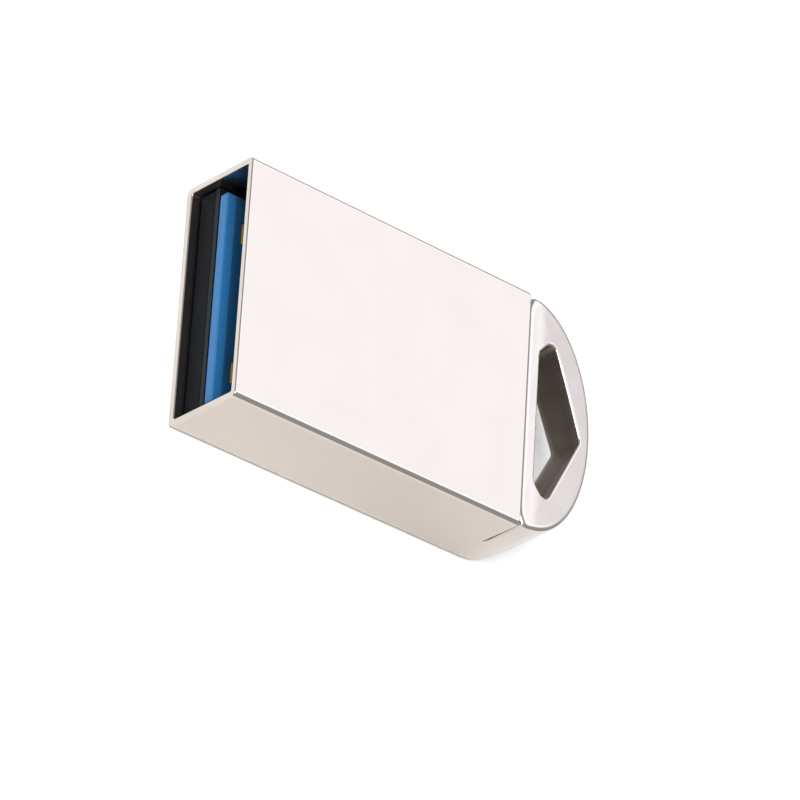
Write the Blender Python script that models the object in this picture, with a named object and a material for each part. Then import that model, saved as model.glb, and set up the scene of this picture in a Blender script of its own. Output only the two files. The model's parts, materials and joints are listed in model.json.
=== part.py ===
"""Ultra-compact USB 3 flash drive: a metal plug sleeve with a D-shaped key loop behind it.

The drive lies on its lower large face. X runs from the mouth of the plug to the tip of the loop,
Y across the width, Z through the thickness. The origin is the centre of the footprint.
"""

import math

import bmesh
import bpy

MM = 0.001

# How finely round shapes are made, and how far a cutter runs past what it cuts
CORNER_STEPS = 4
LIP_STEPS = 3
HOLE_CORNER_STEPS = 5
HOLE_EDGE_STEPS = 2
SEAM_STEPS = 16
FLANK_STEPS = 18
FACE_STEPS = 8
EDGE_ANGLE = 40
SHARP_ANGLE = 30
CUT_PAST = 0.2

# Outside
WIDTH = 12.0
HEIGHT = 4.5
SLEEVE_LENGTH = 16.8
TAIL_LENGTH = 4.5
SHEET = 0.3
SLEEVE_EDGE_RADIUS = 0.25
SLEEVE_INNER_RADIUS = 0.12
MOUTH_ROUNDING = 0.07
MOUTH_X = -(SLEEVE_LENGTH + TAIL_LENGTH) / 2
SEAM_X = MOUTH_X + SLEEVE_LENGTH

# Seam between sleeve and loop: open above SLIT_END_Z, tight below it
SLIT_END_Z = 2.1
SLIT_BLEND = 0.06
SLIT_WIDTH = 0.08
TIGHT_WIDTH = 0.02
SEAM_ROUNDING = 0.16
SEAM_STEP = 0.1

# Key loop, measured from the seam
TOP_STEP = 0.12
TOP_SLOPE = 0.11
TOP_SLOPE_START = 0.8
SIDE_DRAFT = 0.12
SIDE_STRAIGHT = 0.45
SHOULDER = 0.28
SHOULDER_DEPTH = 0.14
SIDE_SHOULDER_DEPTH = 0.07
LOOP_EDGE = 0.25
SWEEP_START = 1.05
SWEEP_END = 2.8
SWEEP_HEIGHT = 2.05
HOLE_EDGE = 0.12
HOLE_CORNERS = (
    (0.82, 3.2, 0.15),
    (0.82, -3.4, 0.15),
    (1.64, -4.2, 0.4),
    (3.79, -0.17, 0.35),
    (2.777, 2.039, 8.0),
    (1.72, 4.2, 0.42),
)
SPIGOT_LENGTH = 1.9
SPIGOT_ROOT = 0.4
FIT = 0.03
WALL_LEVELS = (1.2, 3.2)
SEAM_CLEARANCE = 0.02

# Memory module, measured from the mouth
MODULE_START = 0.5
MODULE_LENGTH = 14.3
MODULE_WIDTH = 11.3
TAPE_THICKNESS = 0.05
TAPE_INSET = 0.6
LAYER_GAP = 0.02
MOULD_THICKNESS = 1.02
SUBSTRATE_THICKNESS = 0.26
TAPE_Z = SHEET + LAYER_GAP
MOULD_Z = TAPE_Z + TAPE_THICKNESS + LAYER_GAP
SUBSTRATE_Z = MOULD_Z + MOULD_THICKNESS + LAYER_GAP
FRAME_Z = SUBSTRATE_Z + SUBSTRATE_THICKNESS + LAYER_GAP
CONTACT_PLANE_Z = SHEET + 1.95

# Blue contact frame and its contacts
FRAME_START = 0.52
FRAME_END = 12.4
FRAME_WIDTH = 10.5
FRAME_BEVEL = 0.07
PAD_PITCHES = {
    "power_contact": (-3.5, 1.45),
    "data_minus_contact": (-1.0, 2.45),
    "data_plus_contact": (1.0, 2.45),
    "ground_contact": (3.5, 1.45),
}
PAD_END = 7.4
PAD_WIDTH = 1.0
PAD_THICKNESS = 0.15
PAD_PROUD = 0.02
PAD_LEG = 0.3
SPRING_PITCH = 2.0
SPRING_COUNT = 5
SPRING_WIDTH = 0.7
SPRING_THICKNESS = 0.14
SPRING_PIVOT = 12.2
SPRING_SLOT_START = 7.95
SPRING_SLOT_WIDTH = 0.9
SPRING_ROOT_Z = FRAME_Z + 0.08
SPRING_PATH = (
    (13.0, 0.0),
    (12.4, 0.0),
    (12.2, 0.02),
    (12.0, 0.09),
    (11.7, 0.16),
    (10.2, 0.44),
    (9.1, 0.665),
    (8.85, 0.7),
    (8.65, 0.7),
    (8.45, 0.66),
    (8.3, 0.58),
    (8.2, 0.47),
)

# Rear retainer
RETAINER_START = 12.6
RETAINER_GAP = 0.05
RETAINER_END = SLEEVE_LENGTH - SPIGOT_LENGTH - RETAINER_GAP
RETAINER_RECESS_END = 13.4
RETAINER_RECESS_WIDTH = 9.4
RETAINER_RECESS_HEIGHT = 0.45

# Chips and small parts inside the mould: distance from the mouth, y, length, width, thickness
DIE_CLEARANCE = 0.03
NAND_COUNT = 4
NAND_SIZE = (7.6, 7.4, 0.12)
NAND_CENTRE = (9.9, 0.0)
NAND_STEP = 0.3
NAND_PITCH = 0.14
SMALL_PARTS = {
    "controller_die": (3.4, -1.6, 3.2, 3.0, 0.15),
    "crystal": (3.4, 2.2, 2.0, 1.6, 0.5),
    "decoupling_capacitor_1": (1.6, -4.3, 1.0, 0.5, 0.5),
    "decoupling_capacitor_2": (3.4, -4.3, 1.0, 0.5, 0.5),
    "decoupling_capacitor_3": (1.6, 4.3, 1.0, 0.5, 0.5),
    "decoupling_capacitor_4": (3.4, 4.3, 1.0, 0.5, 0.5),
    "resistor_1": (1.4, 1.4, 0.6, 0.3, 0.25),
    "resistor_2": (1.4, 2.4, 0.6, 0.3, 0.25),
}

# Colour, metallic, roughness
FINISHES = {
    "nickel_sleeve": ((0.86, 0.84, 0.82), 1.0, 0.28),
    "nickel_cast_loop": ((0.82, 0.8, 0.78), 1.0, 0.32),
    "blue_plastic": ((0.02, 0.15, 0.42), 0.0, 0.35),
    "black_epoxy": ((0.012, 0.013, 0.014), 0.0, 0.45),
    "black_laminate": ((0.01, 0.012, 0.012), 0.0, 0.5),
    "black_plastic": ((0.015, 0.015, 0.016), 0.0, 0.5),
    "gold_plate": ((0.9, 0.66, 0.28), 1.0, 0.25),
    "silicon": ((0.12, 0.12, 0.14), 0.3, 0.2),
    "capacitor_ceramic": ((0.35, 0.22, 0.12), 0.0, 0.4),
    "resistor_ceramic": ((0.03, 0.03, 0.03), 0.0, 0.4),
    "crystal_can": ((0.7, 0.68, 0.65), 1.0, 0.3),
    "amber_tape": ((0.5, 0.3, 0.06), 0.0, 0.35),
}


def clear_scene():
    """Remove every object of the open file."""
    for item in list(bpy.data.objects):
        bpy.data.objects.remove(item, do_unlink=True)


def finish(name):
    """The named Principled material, made once."""
    found = bpy.data.materials.get(name)
    if found:
        return found
    colour, metallic, roughness = FINISHES[name]
    material = bpy.data.materials.new(name)
    material.use_nodes = True
    shader = material.node_tree.nodes["Principled BSDF"]
    shader.inputs["Base Color"].default_value = (*colour, 1.0)
    shader.inputs["Metallic"].default_value = metallic
    shader.inputs["Roughness"].default_value = roughness
    return material


def mesh_object(name, vertices, faces, finish_name, place=(0, 0, 0)):
    """A linked object from points and faces in millimetres, with its origin at place."""
    mesh = bpy.data.meshes.new(name)
    local = [[(v - o) * MM for v, o in zip(vertex, place)] for vertex in vertices]
    mesh.from_pydata(local, [], faces)
    if finish_name:
        mesh.materials.append(finish(finish_name))
    item = bpy.data.objects.new(name, mesh)
    item.location = [o * MM for o in place]
    bpy.context.scene.collection.objects.link(item)
    return item


def orient_outwards(item):
    """Turn every face of a closed mesh outwards."""
    shape = bmesh.new()
    shape.from_mesh(item.data)
    bmesh.ops.recalc_face_normals(shape, faces=shape.faces)
    if shape.calc_volume(signed=True) < 0:
        bmesh.ops.reverse_faces(shape, faces=shape.faces)
    shape.to_mesh(item.data)
    shape.free()


def smooth(item):
    """Shade round surfaces smooth and keep real edges sharp."""
    item.data.shade_smooth()
    item.data.set_sharp_from_angle(angle=math.radians(SHARP_ANGLE))


def box_mesh(low, high):
    """Corners and faces of a box, faces out."""
    corners = [
        (low[0], low[1], low[2]),
        (high[0], low[1], low[2]),
        (high[0], high[1], low[2]),
        (low[0], high[1], low[2]),
        (low[0], low[1], high[2]),
        (high[0], low[1], high[2]),
        (high[0], high[1], high[2]),
        (low[0], high[1], high[2]),
    ]
    faces = [(3, 2, 1, 0), (4, 5, 6, 7), (0, 1, 5, 4), (1, 2, 6, 5), (2, 3, 7, 6), (3, 0, 4, 7)]
    return corners, faces


def bevel(item, width):
    """Round the edges of an object by a width in millimetres."""
    modifier = item.modifiers.new("edges", "BEVEL")
    modifier.width = width * MM
    modifier.segments = 1
    modifier.limit_method = "ANGLE"
    modifier.angle_limit = math.radians(EDGE_ANGLE)


def block(name, low, high, finish_name, edge=0.0):
    """A box with its origin at its centre, and its edges eased."""
    vertices, faces = box_mesh(low, high)
    centre = [(a + b) / 2 for a, b in zip(low, high)]
    item = mesh_object(name, vertices, faces, finish_name, centre)
    if edge:
        bevel(item, edge)
    return item


def cutter(name, solids):
    """One hidden object that holds several separate closed solids."""
    vertices = []
    faces = []
    for points, loops in solids:
        start = len(vertices)
        vertices.extend(points)
        faces.extend([tuple(start + index for index in loop) for loop in loops])
    item = mesh_object(name, vertices, faces, None)
    item.hide_render = True
    item.display_type = "WIRE"
    return item


def boolean(item, tool, operation):
    """Cut or join with the EXACT solver."""
    modifier = item.modifiers.new(tool.name, "BOOLEAN")
    modifier.operation = operation
    modifier.solver = "EXACT"
    modifier.object = tool


def side_prism(profile, y_low, y_high):
    """Corners and faces of an XZ outline, anticlockwise seen from -Y, pulled out along Y."""
    count = len(profile)
    vertices = [(x, y_low, z) for x, z in profile] + [(x, y_high, z) for x, z in profile]
    faces = [tuple(range(count)), tuple(reversed(range(count, 2 * count)))]
    for index in range(count):
        following = (index + 1) % count
        faces.append((following, index, index + count, following + count))
    return vertices, faces


def bridge_rings(rings):
    """Faces between rings of equal length, where the last ring joins the first."""
    count = len(rings[0])
    vertices = [point for ring in rings for point in ring]
    faces = []
    for row in range(len(rings)):
        following = (row + 1) % len(rings)
        for index in range(count):
            beside = (index + 1) % count
            faces.append(
                (
                    row * count + index,
                    row * count + beside,
                    following * count + beside,
                    following * count + index,
                )
            )
    return vertices, faces


def smoothstep(value):
    """Ease from 0 to 1."""
    value = min(max(value, 0.0), 1.0)
    return value * value * (3 - 2 * value)


def blend(start, end, share):
    """The point a share of the way from start to end."""
    return tuple(a + (b - a) * share for a, b in zip(start, end))


def open_seam(z):
    """1 where the seam stands open as a slit, 0 where it is tight."""
    return smoothstep((z - SLIT_END_Z) / SLIT_BLEND)


# Sleeve


def sleeve_section(inset, radius):
    """Closed (y, z) outline of the sleeve, inset from its outside, with points at the slit's end."""
    half_y = WIDTH / 2 - inset
    low_z, high_z = inset, HEIGHT - inset
    points = []
    corners = (
        (half_y - radius, high_z - radius, 0),
        (-half_y + radius, high_z - radius, 90),
        (-half_y + radius, low_z + radius, 180),
        (half_y - radius, low_z + radius, 270),
    )
    for y, z, start in corners:
        for step in range(CORNER_STEPS + 1):
            angle = math.radians(start + 90 * step / CORNER_STEPS)
            points.append((y + radius * math.cos(angle), z + radius * math.sin(angle)))
        if start == 90:
            points.extend([(-half_y, SLIT_END_Z + SLIT_BLEND), (-half_y, SLIT_END_Z)])
        if start == 270:
            points.extend([(half_y, SLIT_END_Z), (half_y, SLIT_END_Z + SLIT_BLEND)])
    return points


def sleeve_ring(x, inset, seam_rounding=0.0, seam_step=0.0):
    """One ring of the sleeve, drawn in where the seam stands open."""
    radius = max(SLEEVE_EDGE_RADIUS - inset, SLEEVE_INNER_RADIUS)
    plain = sleeve_section(inset, radius)
    drawn = sleeve_section(inset + seam_step, max(radius - seam_step, SLEEVE_INNER_RADIUS))
    ring = []
    for outer, inner in zip(plain, drawn):
        share = open_seam(outer[1])
        y, z = blend(outer, inner, share)
        ring.append((x - seam_rounding * share, y, z))
    return ring


def plug_sleeve():
    """Thin sleeve, open at both ends, with a rounded mouth and a rounded edge at the seam."""
    rings = []
    for step in range(LIP_STEPS + 1):
        angle = math.radians(90 * step / LIP_STEPS)
        inset = MOUTH_ROUNDING * (1 - math.sin(angle))
        rings.append(sleeve_ring(MOUTH_X + MOUTH_ROUNDING * (1 - math.cos(angle)), inset))
    for step in range(LIP_STEPS + 1):
        angle = math.radians(90 * step / LIP_STEPS)
        back = SEAM_ROUNDING * (1 - math.sin(angle))
        rings.append(sleeve_ring(SEAM_X, 0.0, back, SEAM_STEP * (1 - math.cos(angle))))
    rings.append(sleeve_ring(SEAM_X, SHEET))
    rings.append(sleeve_ring(MOUTH_X + MOUTH_ROUNDING, SHEET))
    rings.append(sleeve_ring(MOUTH_X, SHEET - MOUTH_ROUNDING))
    vertices, faces = bridge_rings(rings)
    item = mesh_object("plug_sleeve", vertices, faces, "nickel_sleeve")
    orient_outwards(item)
    smooth(item)
    return item


# Key loop


def loop_top(x):
    """Height of the loop's upper face at a distance from the seam."""
    return HEIGHT - TOP_STEP - TOP_SLOPE * max(0.0, x - TOP_SLOPE_START)


def loop_bottom(x):
    """Height of the loop's lower face, which sweeps up from flush to a thin lip."""
    return SWEEP_HEIGHT * smoothstep((x - SWEEP_START) / (SWEEP_END - SWEEP_START))


def rounded_corners(corners):
    """Closed outline whose corners are arcs, from (x, y, radius) corners."""
    points = []
    count = len(corners)
    for index in range(count):
        x, y, radius = corners[index]
        before = corners[index - 1]
        after = corners[(index + 1) % count]
        first = unit(before[0] - x, before[1] - y)
        second = unit(after[0] - x, after[1] - y)
        opening = math.acos(first[0] * second[0] + first[1] * second[1])
        reach = radius / math.tan(opening / 2)
        middle = unit(first[0] + second[0], first[1] + second[1])
        distance = radius / math.sin(opening / 2)
        centre = (x + middle[0] * distance, y + middle[1] * distance)
        start = (x + first[0] * reach, y + first[1] * reach)
        end = (x + second[0] * reach, y + second[1] * reach)
        first_angle = math.atan2(start[1] - centre[1], start[0] - centre[0])
        turn = math.atan2(end[1] - centre[1], end[0] - centre[0]) - first_angle
        turn = (turn + math.pi) % (2 * math.pi) - math.pi
        for step in range(HOLE_CORNER_STEPS + 1):
            angle = first_angle + turn * step / HOLE_CORNER_STEPS
            points.append((centre[0] + radius * math.cos(angle), centre[1] + radius * math.sin(angle)))
    return points


def unit(x, y):
    """The direction of (x, y) with length 1."""
    length = math.hypot(x, y)
    return x / length, y / length


def nearest(points, target):
    """Index of the point closest to the target."""
    return min(range(len(points)), key=lambda index: math.dist(points[index], target))


def along(points, shares):
    """Points at the given shares of an open outline's length."""
    lengths = [0.0]
    for first, second in zip(points, points[1:]):
        lengths.append(lengths[-1] + math.dist(first, second))
    found = []
    for share in shares:
        wanted = share * lengths[-1]
        index = max(i for i in range(len(points) - 1) if lengths[i] <= wanted + 1e-9 or i == 0)
        span = lengths[index + 1] - lengths[index]
        found.append(blend(points[index], points[index + 1], (wanted - lengths[index]) / span))
    return found


def shares_of(points):
    """Each point's share of an open outline's length."""
    lengths = [0.0]
    for first, second in zip(points, points[1:]):
        lengths.append(lengths[-1] + math.dist(first, second))
    return [length / lengths[-1] for length in lengths]


def loop_sides():
    """Outer outline of the loop's top as three open sides: seam, lower flank and upper flank."""
    half = WIDTH / 2 - SIDE_DRAFT
    reach = TAIL_LENGTH - SIDE_STRAIGHT
    seam = [(0.0, half * (1 - 2 * step / SEAM_STEPS)) for step in range(SEAM_STEPS + 1)]
    straight = [(0.0, -half), (SHOULDER / 2, -half), (SHOULDER, -half)]
    lower = []
    upper = []
    for step in range(FLANK_STEPS + 1):
        angle = math.radians(90 * step / FLANK_STEPS)
        across, back = half * math.cos(angle), SIDE_STRAIGHT + reach * math.sin(angle)
        lower.append((back, -across))
        upper.insert(0, (back, across))
    mirrored = [(x, -y) for x, y in reversed(straight)]
    return seam, straight + lower, upper + mirrored


def loop_outlines():
    """Matching closed outlines of the loop: outside and hole, point for point."""
    sides = loop_sides()
    hole = rounded_corners(HOLE_CORNERS)
    marks = [HOLE_CORNERS[5], HOLE_CORNERS[2], HOLE_CORNERS[3]]
    starts = [nearest(hole, (mark[0], mark[1])) for mark in marks]
    outer = []
    inner = []
    for index, side in enumerate(sides):
        begin = starts[index]
        end = starts[(index + 1) % 3]
        length = (end - begin) % len(hole)
        stretch = [hole[(begin + step) % len(hole)] for step in range(length + 1)]
        outer.extend(side[:-1])
        inner.extend(along(stretch, shares_of(side))[:-1])
    return outer, inner


def outward(points):
    """Outward direction at each point of a closed anticlockwise outline."""
    count = len(points)
    directions = []
    for index in range(count):
        before = points[index - 1]
        after = points[(index + 1) % count]
        directions.append(unit(after[1] - before[1], before[0] - after[0]))
    return directions


def flank_share(point):
    """How much of a flank's treatment a point of the loop gets: all at the seam, none at the tip."""
    return 1 - min(point[0] / TAIL_LENGTH, 1.0)


def loop_wall_point(point, z):
    """A point of the outer wall: drafted sides, with the slit's shoulder near the seam."""
    x, y = point
    half = WIDTH / 2 - SIDE_DRAFT
    rise = smoothstep((z - SLIT_END_Z) / (HEIGHT - SLIT_END_Z))
    wider = SIDE_DRAFT * (1 - rise) * flank_share(point)
    near_seam = max(0.0, 1 - x / SHOULDER)
    wider -= SIDE_SHOULDER_DEPTH * near_seam * open_seam(z)
    gap = TIGHT_WIDTH + (SLIT_WIDTH - TIGHT_WIDTH) * open_seam(z)
    return x + gap * max(0.0, 1 - x), y * (1 + wider / half), z


def edge_inset(point, direction, seam_width):
    """How far the loop's face lies inside its wall, at a point of the outline."""
    half = WIDTH / 2 - SIDE_DRAFT
    if point[0] < 1e-6:
        return seam_width, -LOOP_EDGE * point[1] / half
    pull = seam_width * max(0.0, 1 - point[0])
    if point[0] < SIDE_STRAIGHT:
        return pull, -math.copysign(LOOP_EDGE, point[1])
    return pull - LOOP_EDGE * direction[0], -LOOP_EDGE * direction[1]


def loop_rings():
    """Rings of the loop's skin: up the outer wall, over the top, down the hole, under the bottom."""
    outer, hole = loop_outlines()
    outer_ways = outward(outer)
    hole_ways = outward(hole)
    top_face = []
    bottom_face = []
    for point, way in zip(outer, outer_ways):
        wall = loop_wall_point(point, HEIGHT)
        inset = edge_inset(point, way, SHOULDER)
        top_face.append((wall[0] + inset[0], wall[1] + inset[1]))
        wall = loop_wall_point(point, 0.0)
        inset = edge_inset(point, way, SEAM_CLEARANCE)
        bottom_face.append((wall[0] + inset[0], wall[1] + inset[1]))
    hole_face = [(p[0] + HOLE_EDGE * w[0], p[1] + HOLE_EDGE * w[1]) for p, w in zip(hole, hole_ways)]
    rings = []
    rings += outer_wall_rings(outer)
    rings += edge_rings(outer, top_face, True)
    rings += face_rings(top_face, hole_face, loop_top)
    rings += hole_rings(hole, hole_face)
    rings += face_rings(hole_face, bottom_face, loop_bottom)
    rings += list(reversed(edge_rings(outer, bottom_face, False)))
    return rings


def wall_limits(x):
    """Lowest and highest z of the flat part of the outer wall."""
    return loop_bottom(x) + LOOP_EDGE, loop_top(x) - SHOULDER_DEPTH


def outer_wall_rings(outer):
    """Rings up the outer wall, with two of them at the slit's end."""
    low, high = wall_limits(0.0)
    levels = (low, WALL_LEVELS[0], SLIT_END_Z, SLIT_END_Z + SLIT_BLEND, WALL_LEVELS[1], high)
    rings = []
    for level in levels:
        share = (level - low) / (high - low)
        ring = []
        for point in outer:
            bottom, top = wall_limits(point[0])
            ring.append(loop_wall_point(point, bottom + share * (top - bottom)))
        rings.append(ring)
    return rings


def edge_rings(outer, face, at_top):
    """Rings over the rounded edge between the outer wall and a face, without the wall's own ring."""
    rings = []
    for step in range(1, LIP_STEPS + 1):
        angle = math.radians(90 * step / LIP_STEPS)
        ring = []
        for point, flat in zip(outer, face):
            limits = wall_limits(point[0])
            wall = loop_wall_point(point, limits[1] if at_top else limits[0])
            x, y = blend(wall[:2], flat, 1 - math.cos(angle))
            if at_top:
                z = loop_top(x) - SHOULDER_DEPTH * (1 - math.sin(angle))
            else:
                z = loop_bottom(x) + LOOP_EDGE * (1 - math.sin(angle))
            ring.append((x, y, z))
        rings.append(ring)
    return rings


def face_rings(start, end, height):
    """Rings across the upper or lower face, between its two edges."""
    rings = []
    for step in range(1, FACE_STEPS):
        ring = []
        for first, second in zip(start, end):
            x, y = blend(first, second, step / FACE_STEPS)
            ring.append((x, y, height(x)))
        rings.append(ring)
    return rings


def hole_rings(hole, face):
    """Rings over the hole's upper edge, down its wall and round its lower edge."""
    rings = []
    for step in range(HOLE_EDGE_STEPS + 1):
        angle = math.radians(90 * step / HOLE_EDGE_STEPS)
        ring = []
        for wall, flat in zip(hole, face):
            x, y = blend(flat, wall, math.sin(angle))
            ring.append((x, y, loop_top(x) - HOLE_EDGE * (1 - math.cos(angle))))
        rings.append(ring)
    middle = [(x, y, (loop_top(x) + loop_bottom(x)) / 2) for x, y in hole]
    rings.append(middle)
    for step in range(HOLE_EDGE_STEPS + 1):
        angle = math.radians(90 * step / HOLE_EDGE_STEPS)
        ring = []
        for wall, flat in zip(hole, face):
            x, y = blend(wall, flat, 1 - math.cos(angle))
            ring.append((x, y, loop_bottom(x) + HOLE_EDGE * (1 - math.sin(angle))))
        rings.append(ring)
    return rings


def tail_loop():
    """Solid key loop with the spigot that closes the sleeve's rear end."""
    rings = [[(SEAM_X + x, y, z) for x, y, z in ring] for ring in loop_rings()]
    vertices, faces = bridge_rings(rings)
    item = mesh_object("tail_loop", vertices, faces, "nickel_cast_loop", (SEAM_X, 0, 0))
    orient_outwards(item)
    spigot_low = (SEAM_X - SPIGOT_LENGTH, -WIDTH / 2 + SHEET + FIT, SHEET + FIT)
    spigot_high = (SEAM_X + SPIGOT_ROOT, WIDTH / 2 - SHEET - FIT, HEIGHT - SHEET - FIT)
    spigot = cutter("spigot_shape", [box_mesh(spigot_low, spigot_high)])
    bevel(spigot, SLEEVE_INNER_RADIUS)
    boolean(item, spigot, "UNION")
    smooth(item)
    return item


# Memory module


def from_mouth(distance):
    """X at a distance from the mouth."""
    return MOUTH_X + distance


def module_box(z_low, thickness, edge_in=0.0):
    """Corners of a layer as wide and long as the module."""
    half = MODULE_WIDTH / 2 - edge_in
    low = (from_mouth(MODULE_START + edge_in), -half, z_low)
    high = (from_mouth(MODULE_START + MODULE_LENGTH - edge_in), half, z_low + thickness)
    return low, high


def small_part_boxes():
    """Corners of every chip and small part that hangs under the substrate, by name."""
    top = SUBSTRATE_Z - LAYER_GAP
    boxes = {}
    for name, (distance, y, length, width, thickness) in SMALL_PARTS.items():
        x = from_mouth(distance)
        low = (x - length / 2, y - width / 2, top - thickness)
        boxes[name] = (low, (x + length / 2, y + width / 2, top))
    length, width, thickness = NAND_SIZE
    for index in range(NAND_COUNT):
        x = from_mouth(NAND_CENTRE[0] + index * NAND_STEP)
        z = top - index * NAND_PITCH
        low = (x - length / 2, -width / 2, z - thickness)
        boxes[f"nand_die_{index + 1}"] = (low, (x + length / 2, width / 2, z))
    return boxes


def mould_pockets(boxes):
    """Hollows of the mould, open at its top: one for the memory stack, one for each other part."""
    above = MOULD_Z + MOULD_THICKNESS + CUT_PAST
    stack = [box for name, box in boxes.items() if name.startswith("nand")]
    others = [box for name, box in boxes.items() if not name.startswith("nand")]
    low = [min(box[0][axis] for box in stack) for axis in range(3)]
    high = [max(box[1][axis] for box in stack) for axis in range(3)]
    solids = []
    for first, second in [(low, high), *others]:
        bottom = [value - DIE_CLEARANCE for value in first]
        top = [value + DIE_CLEARANCE for value in second]
        solids.append(box_mesh(bottom, (top[0], top[1], above)))
    return cutter("mould_pocket_shapes", solids)


def small_part_finish(name):
    """Finish of a part inside the mould."""
    if name.startswith("decoupling"):
        return "capacitor_ceramic"
    if name.startswith("resistor"):
        return "resistor_ceramic"
    if name == "crystal":
        return "crystal_can"
    return "silicon"


def memory_module():
    """Tape, mould with its chips, and the substrate that covers them."""
    low, high = module_box(TAPE_Z, TAPE_THICKNESS, TAPE_INSET)
    block("module_tape", low, high, "amber_tape")
    boxes = small_part_boxes()
    low, high = module_box(MOULD_Z, MOULD_THICKNESS)
    mould = block("memory_mould", low, high, "black_epoxy")
    boolean(mould, mould_pockets(boxes), "DIFFERENCE")
    for name, (first, second) in boxes.items():
        block(name, first, second, small_part_finish(name))
    low, high = module_box(SUBSTRATE_Z, SUBSTRATE_THICKNESS)
    block("memory_substrate", low, high, "black_laminate")


# Contact frame


def pad_profile(start, grow=0.0, depth=0.0):
    """XZ outline of a flat contact: a long plate with a leg down at its rear end."""
    x_start = from_mouth(start) - grow
    x_end = from_mouth(PAD_END) + grow
    leg = x_end - PAD_LEG - 2 * grow
    top = CONTACT_PLANE_Z + PAD_PROUD + depth
    under = CONTACT_PLANE_Z + PAD_PROUD - PAD_THICKNESS - grow
    foot = FRAME_Z - depth
    return [(x_start, under), (leg, under), (leg, foot), (x_end, foot), (x_end, top), (x_start, top)]


def flat_contacts():
    """The four flat USB 2 contacts."""
    for name, (y, start) in PAD_PITCHES.items():
        profile = pad_profile(start)
        vertices, faces = side_prism(profile, y - PAD_WIDTH / 2, y + PAD_WIDTH / 2)
        place = (from_mouth((start + PAD_END) / 2), y, CONTACT_PLANE_Z)
        item = mesh_object(name, vertices, faces, "gold_plate", place)
        orient_outwards(item)


def spring_rows():
    """Y of each SuperSpeed contact."""
    middle = (SPRING_COUNT - 1) / 2
    return [SPRING_PITCH * (index - middle) for index in range(SPRING_COUNT)]


def contact_frame():
    """Blue plate that holds the flat contacts and guides the springy ones."""
    low = (from_mouth(FRAME_START), -FRAME_WIDTH / 2, FRAME_Z)
    high = (from_mouth(FRAME_END), FRAME_WIDTH / 2, CONTACT_PLANE_Z)
    item = block("contact_frame", low, high, "blue_plastic", FRAME_BEVEL)
    solids = []
    for y, start in PAD_PITCHES.values():
        half = PAD_WIDTH / 2 + FIT
        solids.append(side_prism(pad_profile(start, FIT, CUT_PAST), y - half, y + half))
    for y in spring_rows():
        half = SPRING_SLOT_WIDTH / 2
        first = (from_mouth(SPRING_SLOT_START), y - half, FRAME_Z - CUT_PAST)
        second = (from_mouth(FRAME_END) + CUT_PAST, y + half, CONTACT_PLANE_Z + CUT_PAST)
        solids.append(box_mesh(first, second))
    boolean(item, cutter("contact_slot_shapes", solids), "DIFFERENCE")


def spring_profile():
    """XZ outline of a springy contact: a strip of even thickness along its bent path."""
    path = [(from_mouth(distance), SPRING_ROOT_Z + rise) for distance, rise in SPRING_PATH]
    half = SPRING_THICKNESS / 2
    above = []
    below = []
    for index, (x, z) in enumerate(path):
        before = path[max(index - 1, 0)]
        after = path[min(index + 1, len(path) - 1)]
        way = unit(after[0] - before[0], after[1] - before[1])
        above.append((x + half * way[1], z - half * way[0]))
        below.append((x - half * way[1], z + half * way[0]))
    return above + list(reversed(below))


def super_speed_contacts():
    """Five springy contacts that share a mesh, each with its origin on its bending axis."""
    half = SPRING_WIDTH / 2
    vertices, faces = side_prism(spring_profile(), -half, half)
    pivot = (from_mouth(SPRING_PIVOT), 0.0, SPRING_ROOT_Z)
    rows = spring_rows()
    first = mesh_object("super_speed_contact_1", vertices, faces, "gold_plate", pivot)
    orient_outwards(first)
    first.location.y = rows[0] * MM
    for index, y in enumerate(rows[1:], start=2):
        item = bpy.data.objects.new(f"super_speed_contact_{index}", first.data)
        item.location = (pivot[0] * MM, y * MM, pivot[2] * MM)
        bpy.context.scene.collection.objects.link(item)


def rear_retainer():
    """Black block over the module's rear end, hollowed over the contacts' feet."""
    half = WIDTH / 2 - SHEET - RETAINER_GAP
    low = (from_mouth(RETAINER_START), -half, FRAME_Z)
    high = (from_mouth(RETAINER_END), half, HEIGHT - SHEET - FIT)
    item = block("rear_retainer", low, high, "black_plastic", SLEEVE_INNER_RADIUS)
    wide = RETAINER_RECESS_WIDTH / 2
    first = (from_mouth(RETAINER_START) - CUT_PAST, -wide, FRAME_Z - CUT_PAST)
    second = (from_mouth(RETAINER_RECESS_END), wide, FRAME_Z + RETAINER_RECESS_HEIGHT)
    boolean(item, cutter("retainer_recess_shape", [box_mesh(first, second)]), "DIFFERENCE")


def main():
    """Build the drive from the outside in."""
    clear_scene()
    plug_sleeve()
    tail_loop()
    memory_module()
    contact_frame()
    flat_contacts()
    super_speed_contacts()
    rear_retainer()


main()
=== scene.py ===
"""Looks of an ultra-compact USB 3 flash drive: satin nickel sleeve, cast key loop, blue contact plate.

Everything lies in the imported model's frame: X from the mouth of the plug to the tip of the loop, Y across
the width, Z up through the thickness. Shapes are sized in millimetres and turned to metres where a mesh is
made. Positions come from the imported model's nodes.
"""

from __future__ import annotations

import json
import logging
import math
from collections.abc import Callable, Sequence
from dataclasses import dataclass, field
from enum import Enum

import bmesh
import bpy
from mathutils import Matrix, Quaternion, Vector


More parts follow.
